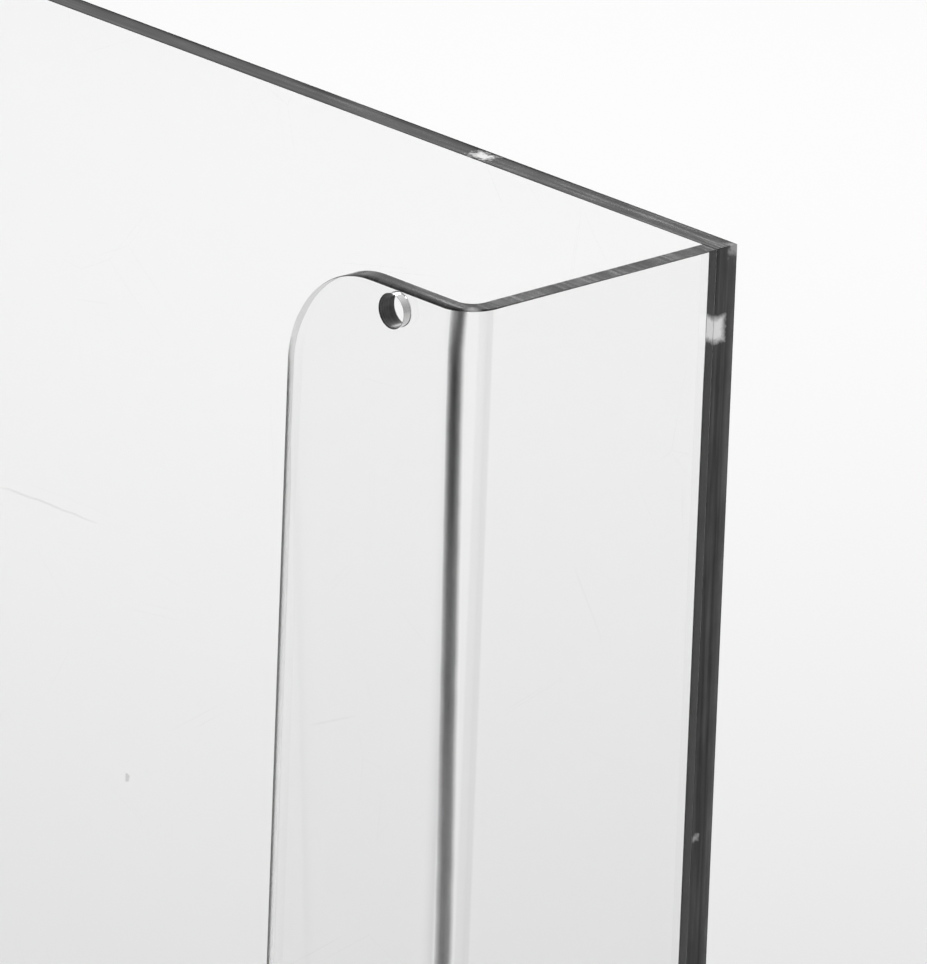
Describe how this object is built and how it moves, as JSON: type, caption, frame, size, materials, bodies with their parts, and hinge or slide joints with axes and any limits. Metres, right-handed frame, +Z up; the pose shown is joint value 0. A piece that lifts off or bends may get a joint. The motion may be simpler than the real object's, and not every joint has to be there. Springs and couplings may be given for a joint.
{
  "type": "sneeze guard",
  "caption": "Clear acrylic sneeze guard: a flat front panel with heat-bent end brackets behind it, each turned inwards into a flange with a rounded top corner and a fixing hole.",
  "frame": {"origin": "centre of the guard's footprint, in the plane of the bottom edges", "axes": "+Z up; the front panel faces the customer along -Y, and the brackets stand behind it towards +Y; X runs along the width"},
  "size_m": [0.762, 0.0826, 0.61],
  "materials": {
    "clear_panel": "polished",
    "clear_bracket": "polished"
  },
  "bodies": {
    "root": {"front_panel": "clear_panel", "left_bracket": "clear_bracket", "right_bracket": "clear_bracket"}
  },
  "joints": []
}
